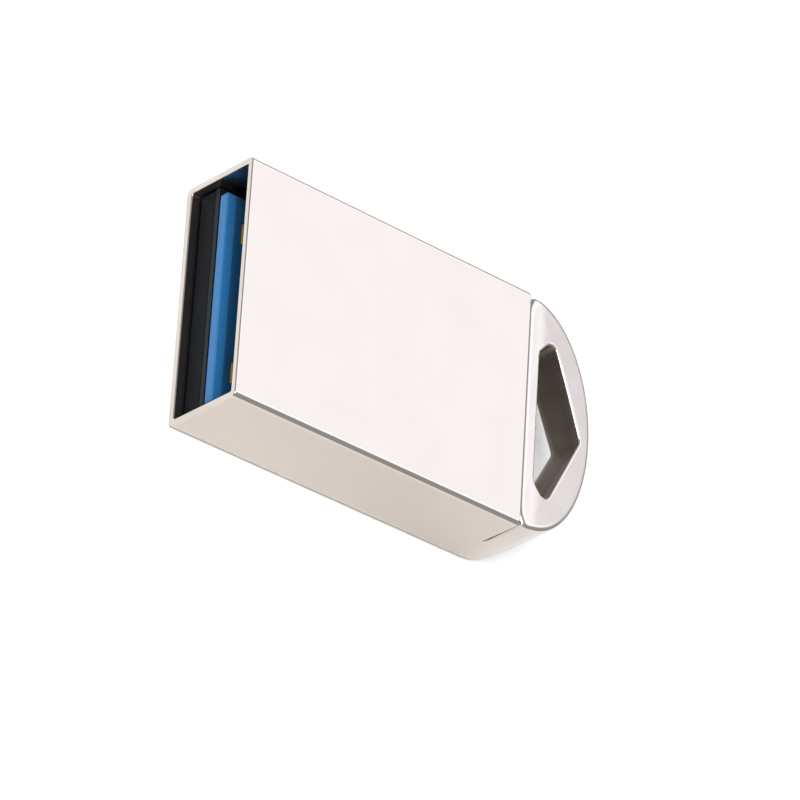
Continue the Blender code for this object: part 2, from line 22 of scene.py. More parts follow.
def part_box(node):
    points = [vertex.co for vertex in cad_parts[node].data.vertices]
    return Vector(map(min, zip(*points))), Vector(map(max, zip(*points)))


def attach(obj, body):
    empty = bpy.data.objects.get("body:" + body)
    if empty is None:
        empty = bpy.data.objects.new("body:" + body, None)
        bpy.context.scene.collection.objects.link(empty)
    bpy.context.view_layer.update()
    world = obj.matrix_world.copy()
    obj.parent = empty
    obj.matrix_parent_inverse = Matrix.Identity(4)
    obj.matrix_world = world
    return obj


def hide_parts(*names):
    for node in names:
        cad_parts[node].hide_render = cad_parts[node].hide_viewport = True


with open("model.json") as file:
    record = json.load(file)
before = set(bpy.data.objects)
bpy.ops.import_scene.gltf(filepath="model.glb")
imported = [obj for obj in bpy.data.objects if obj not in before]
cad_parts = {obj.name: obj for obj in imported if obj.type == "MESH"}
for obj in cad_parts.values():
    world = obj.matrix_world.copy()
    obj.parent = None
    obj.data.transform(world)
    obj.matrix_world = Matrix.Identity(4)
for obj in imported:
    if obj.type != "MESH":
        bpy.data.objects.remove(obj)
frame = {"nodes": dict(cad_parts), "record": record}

MM = 0.001
SPRING_COUNT = 5
SHARE_SLACK = 1e-9
AT_SEAM = 1e-6
EDGE_SHARE = 0.3  # a spring strip's edge radius as a share of its thickness
LOG = logging.getLogger("flash_drive")

Item = bpy.types.Object
Material = bpy.types.Material
Tree = bpy.types.NodeTree
Node = bpy.types.Node
Socket = bpy.types.NodeSocket
Point = tuple[float, float, float]
Flat = tuple[float, ...]
Outline = list[Flat]
Ring = list[Point]
Solid = tuple[list[Point], list[tuple[int, ...]]]


class Operation(Enum):
    """What one solid does to another."""

    CUT = "DIFFERENCE"
    JOIN = "UNION"


# Small tools


def linear(code: str) -> tuple[float, float, float, float]:
    """Turn an sRGB hex colour into linear RGBA.

    Args:
        code: six hex digits after a hash sign.

    Returns:
        Linear red, green, blue and an alpha of 1.
    """
    shares = [int(code[start : start + 2], 16) / 255 for start in (1, 3, 5)]
    red, green, blue = (s / 12.92 if s <= 0.04045 else ((s + 0.055) / 1.055) ** 2.4 for s in shares)
    return red, green, blue, 1.0


def add_node(tree: Tree, kind: str, inputs: dict | None = None, **settings: object) -> Node:
    """Add one node with its settings, values and links.

    Args:
        tree: the node tree.
        kind: Blender's name of the node type.
        inputs: input name or index, to a value or to an output socket that is linked in.
        settings: the node's own settings.

    Returns:
        The new node.
    """
    node = tree.nodes.new(kind)
    for name, value in settings.items():
        setattr(node, name, value)
    for key, value in (inputs or {}).items():
        if isinstance(value, Socket):
            tree.links.new(value, node.inputs[key])
        else:
            node.inputs[key].default_value = value
    return node


def smoothstep(value: float) -> float:
    """Ease from 0 to 1."""
    value = min(max(value, 0.0), 1.0)
    return value * value * (3 - 2 * value)


def blend(start: Sequence[float], end: Sequence[float], share: float) -> tuple[float, ...]:
    """The point a share of the way from start to end."""
    return tuple(a + (b - a) * share for a, b in zip(start, end))


def unit(x: float, y: float) -> tuple[float, float]:
    """The direction of (x, y) with length 1."""
    length = math.hypot(x, y)
    return x / length, y / length


def quarter_turn(steps: int, first: int = 0) -> list[float]:
    """Angles in radians from 0 to a right angle, in even steps."""
    return [math.radians(90 * step / steps) for step in range(first, steps + 1)]


def box_mm(node: str) -> tuple[Vector, Vector]:
    """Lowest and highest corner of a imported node, in millimetres."""
    low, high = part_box(node)
    return low / MM, high / MM


# Meshes


def bridge(rings: Sequence[Ring]) -> Solid:
    """Join rings of equal length into one closed skin, the last ring to the first.

    Args:
        rings: closed rings of points in millimetres, in order round the skin.

    Returns:
        The points and faces.
    """
    count = len(rings[0])
    points = [point for ring in rings for point in ring]
    faces = []
    for row in range(len(rings)):
        after = (row + 1) % len(rings)
        for index in range(count):
            beside = (index + 1) % count
            low, high = row * count, after * count
            faces.append((low + index, low + beside, high + beside, high + index))
    return points, faces


def prism(outline: Sequence[Flat], low: float, high: float, lift: Callable) -> Solid:
    """Pull a closed outline out into a solid.

    Args:
        outline: points of the outline in its own plane.
        low: where the solid starts along the pull.
        high: where it ends.
        lift: turns a plane point and a distance along the pull into a point in space.

    Returns:
        The points and faces.
    """
    count = len(outline)
    points = [lift(a, b, level) for level in (low, high) for a, b in outline]
    faces = [tuple(range(count)), tuple(reversed(range(count, 2 * count)))]
    for index in range(count):
        after = (index + 1) % count
        faces.append((after, index, index + count, after + count))
    return points, faces


def upright(x: float, y: float, z: float) -> Point:
    """Lift for a prism that is pulled up along Z."""
    return x, y, z


def block(low: Sequence[float], high: Sequence[float]) -> Solid:
    """A box from its lowest to its highest corner."""
    outline = [(low[0], low[1]), (high[0], low[1]), (high[0], high[1]), (low[0], high[1])]
    return prism(outline, low[2], high[2], upright)


def gather(solids: Sequence[Solid]) -> Solid:
    """Put several separate solids into one list of points and faces.

    Args:
        solids: the separate solids.

    Returns:
        All their points, and all their faces.
    """
    points: list[Point] = []
    faces: list[tuple[int, ...]] = []
    for own_points, own_faces in solids:
        start = len(points)
        points.extend(own_points)
        faces.extend(tuple(start + index for index in face) for face in own_faces)
    return points, faces


def mesh_piece(name: str, solid: Solid) -> Item:
    """Make a linked object at the origin, with its place in its mesh and its faces out.

    Args:
        name: the piece's name.
        solid: points in millimetres, and faces.

    Returns:
        The object.
    """
    points, faces = solid
    mesh = bpy.data.meshes.new(name)
    mesh.from_pydata([[value * MM for value in point] for point in points], [], faces)
    shape = bmesh.new()
    shape.from_mesh(mesh)
    bmesh.ops.recalc_face_normals(shape, faces=shape.faces)
    if shape.calc_volume(signed=True) < 0:
        bmesh.ops.reverse_faces(shape, faces=shape.faces)
    shape.to_mesh(mesh)
    shape.free()
    piece = bpy.data.objects.new(name, mesh)
    bpy.context.scene.collection.objects.link(piece)
    return piece


def round_edges(piece: Item, width: float, segments: int = 3) -> None:
    """Round a piece's sharp edges.

    Args:
        piece: the piece.
        width: how far the rounding reaches from an edge, in millimetres.
        segments: how many facets it has.
    """
    modifier = piece.modifiers.new("rounded_edges", "BEVEL")
    modifier.width = width * MM
    modifier.segments = segments
    modifier.limit_method = "ANGLE"
    modifier.angle_limit = math.radians(35)
    modifier.harden_normals = False


def combine(piece: Item, solids: Sequence[Solid], operation: Operation) -> None:
    """Cut solids from a piece, or join them to it.

    Args:
        piece: the piece that keeps its name.
        solids: separate closed solids in millimetres.
        operation: whether they are cut or joined.
    """
    tool = mesh_piece(piece.name + "_tool", gather(solids))
    modifier = piece.modifiers.new("cut", "BOOLEAN")
    modifier.operation = operation.value
    modifier.solver = "EXACT"
    modifier.object = tool
    settle(piece)
    bpy.data.objects.remove(tool)


def settle(piece: Item) -> None:
    """Turn a piece and its modifiers into a plain mesh.

    Args:
        piece: the piece, which keeps its name.
    """
    graph = bpy.context.evaluated_depsgraph_get()
    mesh = bpy.data.meshes.new_from_object(piece.evaluated_get(graph))
    piece.modifiers.clear()
    piece.data = mesh


def smooth(piece: Item, angle: float = 35) -> None:
    """Shade a piece smooth, with edges sharper than an angle in degrees left sharp."""
    piece.data.shade_smooth()
    piece.data.set_sharp_from_angle(angle=math.radians(angle))


def weigh_normals(piece: Item) -> None:
    """Let a piece's large faces set the shading, so that they look flat beside their rounded edges.

    Args:
        piece: the piece, as a plain mesh.
    """
    modifier = piece.modifiers.new("flat_faces", "WEIGHTED_NORMAL")
    modifier.keep_sharp = True
    modifier.weight = 100
    settle(piece)


def mark_rubbed_and_highlit_edges(piece: Item, full: float = 6.0) -> None:
    """Store how far each point sits on a convex edge, which handling polishes and where a lighter colour
    paints a highlight.

    Args:
        piece: the piece, as a plain mesh.
        full: the turn between two faces, in degrees, that counts as a fully rubbed edge.
    """
    shape = bmesh.new()
    shape.from_mesh(piece.data)
    shares = []
    for vertex in shape.verts:
        turns = [edge.calc_face_angle_signed(0.0) for edge in vertex.link_edges if len(edge.link_faces) == 2]
        shares.append(min(max(max(turns, default=0.0), 0.0) / math.radians(full), 1.0))
    shape.free()
    attribute = piece.data.attributes.new("rub_and_highlight", "FLOAT", "POINT")
    attribute.data.foreach_set("value", shares)


def dress(piece: Item, materials: Sequence[Material], nodes: Sequence[str]) -> None:
    """Give a new piece its materials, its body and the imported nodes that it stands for.

    Args:
        piece: the piece, at the origin.
        materials: its materials in slot order.
        nodes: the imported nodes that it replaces; it rides on their body.
    """
    piece.data.materials.clear()
    for material in materials:
        piece.data.materials.append(material)
    bodies = frame["record"]["behaviour"]["bodies"]
    body = next(name for name, members in bodies.items() if nodes[0] in members)
    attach(piece, body)
    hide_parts(*nodes)


def repaint(node: str, material: Material) -> Item:
    """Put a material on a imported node.

    Args:
        node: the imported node's name.
        material: the material for all its slots.

    Returns:
        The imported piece.
    """
    piece = frame["nodes"][node]
    if not piece.material_slots:
        piece.data.materials.append(material)
    for place in piece.material_slots:
        place.material = material
    return piece


# Finishes


@dataclass(frozen=True)
class Finish:
    """What every finish has: a name, a colour and a roughness."""

    name: str
    colour: str
    roughness: float

    def start(self) -> tuple[Material, Tree, Node, Socket]:
        """Make the material.

        Returns:
            The material, its tree, its shader and the object coordinates.
        """
        material = bpy.data.materials.new(self.name)
        material.use_nodes = True
        tree = material.node_tree
        shader = tree.nodes["Principled BSDF"]
        shader.inputs["Base Color"].default_value = linear(self.colour)
        shader.inputs["Roughness"].default_value = self.roughness
        coordinates = add_node(tree, "ShaderNodeTexCoord").outputs["Object"]
        return material, tree, shader, coordinates

    def noise(self, tree: Tree, where: Socket, size: Sequence[float] | float, detail: float = 2.0) -> Socket:
        """Noise whose features have a size in millimetres, along each axis or along all.

        Args:
            tree: the material's tree.
            where: the coordinates.
            size: one size, or one for each of X, Y and Z.
            detail: octaves of finer noise.

        Returns:
            The noise, around 0.5.
        """
        sizes = (size,) * 3 if isinstance(size, (int, float)) else size
        scale = tuple(1 / (value * MM) for value in sizes)
        spread = add_node(tree, "ShaderNodeMapping", {"Vector": where, "Scale": scale})
        given = {"Vector": spread.outputs["Vector"], "Scale": 1.0, "Detail": detail}
        return add_node(tree, "ShaderNodeTexNoise", given).outputs["Fac"]

    def ranged(self, tree: Tree, value: Socket, source: Sequence[float], target: Sequence[float]) -> Socket:
        """Map a value from one range to another, held at the ends.

        Args:
            tree: the material's tree.
            value: the value.
            source: its lowest and highest value.
            target: what they turn into.

        Returns:
            The mapped value.
        """
        given = {"Value": value, "From Min": source[0], "From Max": source[1]}
        given.update({"To Min": target[0], "To Max": target[1]})
        return add_node(tree, "ShaderNodeMapRange", given).outputs["Result"]

    def tint(self, tree: Tree, share: Socket, first: str | Socket, second: str) -> Socket:
        """Mix two colours.

        Args:
            tree: the material's tree.
            share: how much of the second colour there is, from 0 to 1.
            first: the first colour, as a hex colour or a socket.
            second: the second colour, as a hex colour.

        Returns:
            The mixed colour.
        """
        node = add_node(tree, "ShaderNodeMix", {"Factor": share}, data_type="RGBA")
        colours = [socket for socket in node.inputs if socket.type == "RGBA"]
        if isinstance(first, str):
            colours[0].default_value = linear(first)
        else:
            tree.links.new(first, colours[0])
        colours[1].default_value = linear(second)
        return next(socket for socket in node.outputs if socket.type == "RGBA")

    def two_tone(
        self, tree: Tree, pattern: Socket, ends: Sequence[float], second: str, most: float = 1.0
    ) -> Socket:
        """The finish's colour, turned into a second one where a pattern runs between two values."""
        return self.tint(tree, self.ranged(tree, pattern, ends, (0.0, most)), self.colour, second)

    def around(self, tree: Tree, share: Socket, source: Sequence[float], less: float, more: float) -> Socket:
        """Roughness that varies about the finish's own, from that much less to that much more."""
        return self.ranged(tree, share, source, (self.roughness - less, self.roughness + more))

    def bump(self, tree: Tree, shader: Node, height: Socket, depth: float) -> None:
        """Raise the surface by a height map whose full range is a depth in millimetres."""
        node = add_node(tree, "ShaderNodeBump", {"Height": height, "Distance": depth * MM, "Strength": 1.0})
        tree.links.new(node.outputs["Normal"], shader.inputs["Normal"])

    def make(self) -> Material:
        """Make the material; each finish adds its own pattern."""
        return self.start()[0]


@dataclass(frozen=True)
class PlatedMetal(Finish):
    """Satin plated metal: cloudy tone, fine grain, hairline rubs, and edges polished by handling whose
    lighter colour is a painted highlight.
    """

    cloud_colour: str = "#bfb6af"
    cloud: float = 2.6
    grain: float = 0.07
    grain_depth: float = 0.0004
    rub: tuple[float, float, float] = (3.0, 0.05, 0.05)
    rub_depth: float = 0.0004
    worn_painted_highlight_colour: str = "#c9c1ba"
    worn_roughness: float = 0.18

    def make(self) -> Material:
        """Make the material with its grain, rubs, and rubbed edges lightened as a painted highlight.

        Returns:
            The material.
        """
        material, tree, shader, where = self.start()
        clouds = self.noise(tree, where, self.cloud, 3.0)
        tone = self.two_tone(tree, clouds, (0.35, 0.65), self.cloud_colour)
        # Convex edges: lower roughness from polishing by handling, and a lighter colour that paints a
        # highlight along the rims
        edge_rub_and_highlight = add_node(tree, "ShaderNodeAttribute", attribute_name="rub_and_highlight").outputs["Fac"]
        tree.links.new(self.tint(tree, edge_rub_and_highlight, tone, self.worn_painted_highlight_colour), shader.inputs["Base Color"])
        shader.inputs["Metallic"].default_value = 1.0
        uneven = self.around(tree, clouds, (0.3, 0.7), 0.006, 0.008)
        gloss = add_node(tree, "ShaderNodeMix", {0: edge_rub_and_highlight}, data_type="FLOAT")
        numbers = [socket for socket in gloss.inputs if socket.type == "VALUE" and socket.name in "AB"]
        tree.links.new(uneven, numbers[0])
        numbers[1].default_value = self.worn_roughness
        tree.links.new(gloss.outputs[0], shader.inputs["Roughness"])
        grain = self.noise(tree, where, self.grain, 1.0)
        rubs = self.noise(tree, where, self.rub, 2.0)
        share = self.rub_depth / self.grain_depth
        height = add_node(tree, "ShaderNodeMath", {0: rubs, 1: share, 2: grain}, operation="MULTIPLY_ADD")
        self.bump(tree, shader, height.outputs[0], self.grain_depth)
        return material


@dataclass(frozen=True)
class MouldedPlastic(Finish):
    """Injection moulded plastic: spark-eroded texture, fibre specks and a slight sheen."""

    speck_colour: str = "#2f7fc4"
    speck: float = 0.12
    texture: float = 0.08
    depth: float = 0.002
    sheen: float = 0.5

    def make(self) -> Material:
        """Make the material with its texture and specks.

        Returns:
            The material.
        """
        material, tree, shader, where = self.start()
        shader.inputs["Specular IOR Level"].default_value = self.sheen
        specks = self.noise(tree, where, self.speck, 3.0)
        tone = self.two_tone(tree, specks, (0.52, 0.72), self.speck_colour, 0.6)
        tree.links.new(tone, shader.inputs["Base Color"])
        flow = self.noise(tree, where, (2.5, 0.6, 0.6), 2.0)
        tree.links.new(self.around(tree, flow, (0.3, 0.7), 0.05, 0.05), shader.inputs["Roughness"])
        self.bump(tree, shader, self.noise(tree, where, self.texture, 2.0), self.depth)
        return material


@dataclass(frozen=True)
class GoldPlate(Finish):
    """Gold over nickel on rolled copper alloy: faint rolling lines and a wiped track along each contact."""

    deep_colour: str = "#c99a4e"
    line: tuple[float, float, float] = (2.0, 0.03, 0.03)
    depth: float = 0.0002

    def make(self) -> Material:
        """Make the material with its rolling lines and wiped track.

        Returns:
            The material.
        """
        material, tree, shader, where = self.start()
        lines = self.noise(tree, where, self.line, 3.0)
        tone = self.two_tone(tree, lines, (0.35, 0.7), self.deep_colour)
        tree.links.new(tone, shader.inputs["Base Color"])
        shader.inputs["Metallic"].default_value = 1.0
        wiped = self.noise(tree, where, (4.0, 0.25, 0.25), 1.0)
        tree.links.new(self.around(tree, wiped, (0.35, 0.65), 0.08, 0.1), shader.inputs["Roughness"])
        self.bump(tree, shader, lines, self.depth)
        return material


@dataclass(frozen=True)
class WovenLaminate(Finish):
    """Circuit laminate under solder mask: the glass weave shows as a faint quilt."""

    raised_colour: str = "#171f20"
    thread: float = 0.22
    depth: float = 0.002
    sheen: float = 0.15

    def make(self) -> Material:
        """Make the material with its weave.

        Returns:
            The material.
        """
        material, tree, shader, where = self.start()
        shader.inputs["Specular IOR Level"].default_value = self.sheen
        scale = (1 / (self.thread * MM),) * 3
        spread = add_node(tree, "ShaderNodeMapping", {"Vector": where, "Scale": scale})
        given = {"Vector": spread.outputs["Vector"], "Scale": 0.5, "Distortion": 0.4}
        waves = [add_node(tree, "ShaderNodeTexWave", given, bands_direction=way) for way in ("X", "Y")]
        bands = {index: wave.outputs["Fac"] for index, wave in enumerate(waves)}
        weave = add_node(tree, "ShaderNodeMath", bands, operation="MULTIPLY").outputs[0]
        tree.links.new(self.tint(tree, weave, self.colour, self.raised_colour), shader.inputs["Base Color"])
        self.bump(tree, shader, weave, self.depth)
        return material


@dataclass(frozen=True)
class SawnSilicon(Finish):
    """A thinned memory or controller die: a dark mirror with blocks of cells in slightly different tones."""

    cell_colour: str = "#5a5468"
    street_colour: str = "#8a8478"
    block_length: float = 0.9
    block_width: float = 0.45

    def make(self) -> Material:
        """Make the material with its blocks of cells.

        Returns:
            The material.
        """
        material, tree, shader, where = self.start()
        spread = add_node(tree, "ShaderNodeMapping", {"Vector": where, "Scale": (1 / MM,) * 3})
        given = {"Vector": spread.outputs["Vector"], "Scale": 1.0, "Mortar Size": 0.02}
        given.update({"Brick Width": self.block_length, "Row Height": self.block_width})
        given.update({"Color1": linear(self.colour), "Color2": linear(self.cell_colour)})
        given["Mortar"] = linear(self.street_colour)
        cells = add_node(tree, "ShaderNodeTexBrick", given, offset=0.0)
        tree.links.new(cells.outputs["Color"], shader.inputs["Base Color"])
        shader.inputs["Metallic"].default_value = 0.5
        self.bump(tree, shader, self.noise(tree, where, 0.05, 1.0), 0.0003)
        return material


@dataclass(frozen=True)
class TinnedChip(Finish):
    """A fired ceramic chip with a tinned cap at each end, for a part of one length along X."""

    cap_colour: str = "#c9c6bf"
    centre: float = 0.0
    length: float = 1.0
    cap: float = 0.22

    def make(self) -> Material:
        """Make the material with its ends tinned.

        Returns:
            The material.
        """
        material, tree, shader, where = self.start()
        moved = add_node(tree, "ShaderNodeMapping", {"Vector": where, "Location": (-self.centre * MM, 0, 0)})
        along = add_node(tree, "ShaderNodeSeparateXYZ", {"Vector": moved.outputs["Vector"]}).outputs["X"]
        reach = add_node(tree, "ShaderNodeMath", {0: along}, operation="ABSOLUTE").outputs[0]
        start = (self.length / 2 - self.cap) * MM
        caps = self.ranged(tree, reach, (start, start + 0.02 * MM), (0.0, 1.0))
        tree.links.new(self.tint(tree, caps, self.colour, self.cap_colour), shader.inputs["Base Color"])
        tree.links.new(caps, shader.inputs["Metallic"])
        self.bump(tree, shader, self.noise(tree, where, 0.05, 2.0), 0.002)
        return material


@dataclass(frozen=True)
class Seamless(Finish):
    """Matt studio paper: a very faint fibre."""

    fibre_colour: str = "#fbfaf8"
    fibre: float = 0.6
    depth: float = 0.004

    def make(self) -> Material:
        """Make the material with its fibre.

        Returns:
            The material.
        """
        material, tree, shader, where = self.start()
        fibres = self.noise(tree, where, self.fibre, 3.0)
        tone = self.two_tone(tree, fibres, (0.3, 0.7), self.fibre_colour)
        tree.links.new(tone, shader.inputs["Base Color"])
        self.bump(tree, shader, fibres, self.depth)
        return material


# Drawn sheet steel, nickel plated and satin polished: a warm white metal with a soft, even reflection
SATIN_SLEEVE = PlatedMetal("satin_nickel_on_drawn_steel", "#c1b8b1", 0.24)
# Zinc die casting under the same plating: a little greyer and rounder than the sheet
SATIN_CASTING = PlatedMetal("satin_nickel_on_cast_zinc", "#c2bab5", 0.27, cloud_colour="#beb6b1", cloud=1.6)
# The wall of the key hole, where polishing doesn't reach: plated over the casting's own matt skin, with its
# colour darkened as painted shade inside the hole
HOLE_WALL_PAINTED_SHADE = PlatedMetal(
    "hole_wall_casting_painted_shade",
    "#8f877e",
    0.6,
    cloud_colour="#857d74",
    cloud=0.9,
    grain=0.09,
    grain_depth=0.003,
    worn_painted_highlight_colour="#a39a91",
    worn_roughness=0.45,
)
# The sleeve's inside: unpolished, so rougher, with its colour darkened to paint the shade inside the plug
SLEEVE_INSIDE_PAINTED_SHADE = PlatedMetal(
    "sleeve_inside_painted_shade",
    "#232325",
    0.38,
    cloud_colour="#1f1f21",
    worn_painted_highlight_colour="#3c3c3e",
    worn_roughness=0.3,
)
# Glass-filled nylon in the blue that marks a USB 3 port
BLUE_NYLON = MouldedPlastic("blue_glass_filled_nylon", "#2b6fa8", 0.36, speck_colour="#347bb3", sheen=0.3)
# Transfer-moulded epoxy round the chips: nearly black with a mineral grain
BLACK_EPOXY = MouldedPlastic(
    "black_moulding_epoxy", "#12161a", 0.5, speck_colour="#1a2024", speck=0.06, texture=0.05, sheen=0.06
)
# Moulded ABS block behind the contacts
BLACK_ABS = MouldedPlastic(
    "black_moulded_abs", "#141415", 0.42, speck_colour="#1d1d1f", depth=0.001, sheen=0.25
)
# Acrylic tape that holds the module to the sleeve
AMBER_TAPE = MouldedPlastic(
    "amber_acrylic_tape", "#8a5a1c", 0.3, speck_colour="#a9762e", speck=0.4, texture=0.3, depth=0.002
)
# Gold flash over nickel on rolled phosphor bronze
GOLD = GoldPlate("gold_plated_contact", "#dcb068", 0.4)
# Solder mask over woven glass laminate
LAMINATE = WovenLaminate("black_solder_mask_laminate", "#0e1414", 0.42)
# Sawn and thinned silicon
SILICON = SawnSilicon("sawn_silicon", "#34323c", 0.18)
# Plated steel lid of the crystal
CRYSTAL_LID = PlatedMetal(
    "plated_crystal_lid", "#cfcac2", 0.25, cloud_colour="#bdb8b0", worn_painted_highlight_colour="#d8d4cc"
)
# White studio paper
PAPER = Seamless("white_studio_paper", "#f6f5f3", 0.9)


# Sub-assemblies


@dataclass
class PlugSleeve:
    """The bare USB plug: a drawn sleeve, rounded at its mouth, with a half-open seam behind."""

    sheet: float = 0.3
    edge_radius: float = 0.25
    inner_radius: float = 0.12
    mouth_rounding: float = 0.07
    seam_rounding: float = 0.06
    seam_step: float = 0.06
    tight_rounding: float = 0.005
    slit_end: float = 1.95
    slit_blend: float = 0.2
    support: float = 0.04
    corner_steps: int = 10
    lip_steps: int = 6
    low: Vector = field(default_factory=lambda: box_mm("plug_sleeve")[0])
    high: Vector = field(default_factory=lambda: box_mm("plug_sleeve")[1])

    def openness(self, z: float) -> float:
        """1 where the seam stands open, 0 where it is tight."""
        return smoothstep((z - self.slit_end) / self.slit_blend)

    def section(self, inset: float, radius: float) -> Outline:
        """Closed (y, z) outline of the sleeve.

        Args:
            inset: how far it lies inside the sleeve's outside.
            radius: the radius of its corners.

        Returns:
            The outline, anticlockwise seen from the tail, with a support point beside each corner's ends.
        """
        half = self.high.y - inset
        bottom, top = self.low.z + inset, self.high.z - inset
        corners = (
            (half - radius, top - radius, 0),
            (-half + radius, top - radius, 90),
            (-half + radius, bottom + radius, 180),
            (half - radius, bottom + radius, 270),
        )
        points = []
        for y, z, start in corners:
            way = math.radians(start)
            before = (y + radius * math.cos(way), z + radius * math.sin(way))
            aside = (self.support * math.sin(way), -self.support * math.cos(way))
            points.append((before[0] + aside[0], before[1] + aside[1]))
            for angle in quarter_turn(self.corner_steps):
                points.append((y + radius * math.cos(way + angle), z + radius * math.sin(way + angle)))
            last = points[-1]
            points.append((last[0] - self.support * math.cos(way), last[1] - self.support * math.sin(way)))
            if start == 90:
                points.extend([(-half, self.slit_end + self.slit_blend), (-half, self.slit_end)])
            if start == 270:
                points.extend([(half, self.slit_end), (half, self.slit_end + self.slit_blend)])
        return points

    def ring(self, x: float, inset: float, rounding: float = 0.0, step: float = 0.0) -> Ring:
        """One ring of the sleeve, drawn in where the seam stands open.

        Args:
            x: where it lies along the drive.
            inset: how far it lies inside the sleeve's outside.
            rounding: how far it is drawn forward where the seam is open.
            step: how far it is drawn in where the seam is open.

        Returns:
            The ring's points.
        """
        radius = max(self.edge_radius - inset, self.inner_radius)
        plain = self.section(inset, radius)
        drawn = self.section(inset + step, max(radius - step, self.inner_radius))
        tight = self.tight_rounding / self.seam_rounding
        points = []
        for outer, inner in zip(plain, drawn):
            share = tight + (1 - tight) * self.openness(outer[1])
            y, z = blend(outer, inner, share)
            points.append((x - rounding * share, y, z))
        return points

    def skin(self) -> tuple[list[Ring], int]:
        """Draw the sleeve's skin from the mouth over the outside and back through the inside.

        Returns:
            The rings round the skin, and how many of them lie outside.
        """
        mouth, seam = self.low.x, self.high.x
        rings = []
        for angle in quarter_turn(self.lip_steps):
            inset = self.mouth_rounding * (1 - math.sin(angle))
            rings.append(self.ring(mouth + self.mouth_rounding * (1 - math.cos(angle)), inset))
        rings.append(self.ring(mouth + self.mouth_rounding + self.support, 0.0))
        rings.append(self.ring(seam - self.seam_rounding - self.support, 0.0))
        for angle in quarter_turn(self.lip_steps):
            back = self.seam_rounding * (1 - math.sin(angle))
            rings.append(self.ring(seam, 0.0, back, self.seam_step * (1 - math.cos(angle))))
        outside = len(rings)
        rings.append(self.ring(seam, self.sheet - self.support))
        rings.append(self.ring(seam, self.sheet))
        rings.append(self.ring(mouth + self.mouth_rounding + self.support, self.sheet))
        for angle in quarter_turn(self.lip_steps):
            inset = self.sheet - self.mouth_rounding * (1 - math.cos(angle))
            rings.append(self.ring(mouth + self.mouth_rounding * (1 - math.sin(angle)), inset))
        return rings, outside

    def build(self) -> Item:
        """Build the sleeve and dress it, satin outside, and inside a rougher finish darkened as painted
        shade.

        Returns:
            The sleeve.
        """
        rings, outside = self.skin()
        piece = mesh_piece("plug_sleeve_shell", bridge(rings))
        smooth(piece, 50)
        count = len(rings[0])
        # The inside wall takes the second finish, whose dark colour paints the shade inside the plug
        for face in piece.data.polygons:
            row = face.index // count
            face.material_index = 1 if outside <= row <= outside + 1 else 0
        mark_rubbed_and_highlit_edges(piece)
        dress(piece, [SATIN_SLEEVE.make(), SLEEVE_INSIDE_PAINTED_SHADE.make()], ["plug_sleeve"])
        return piece


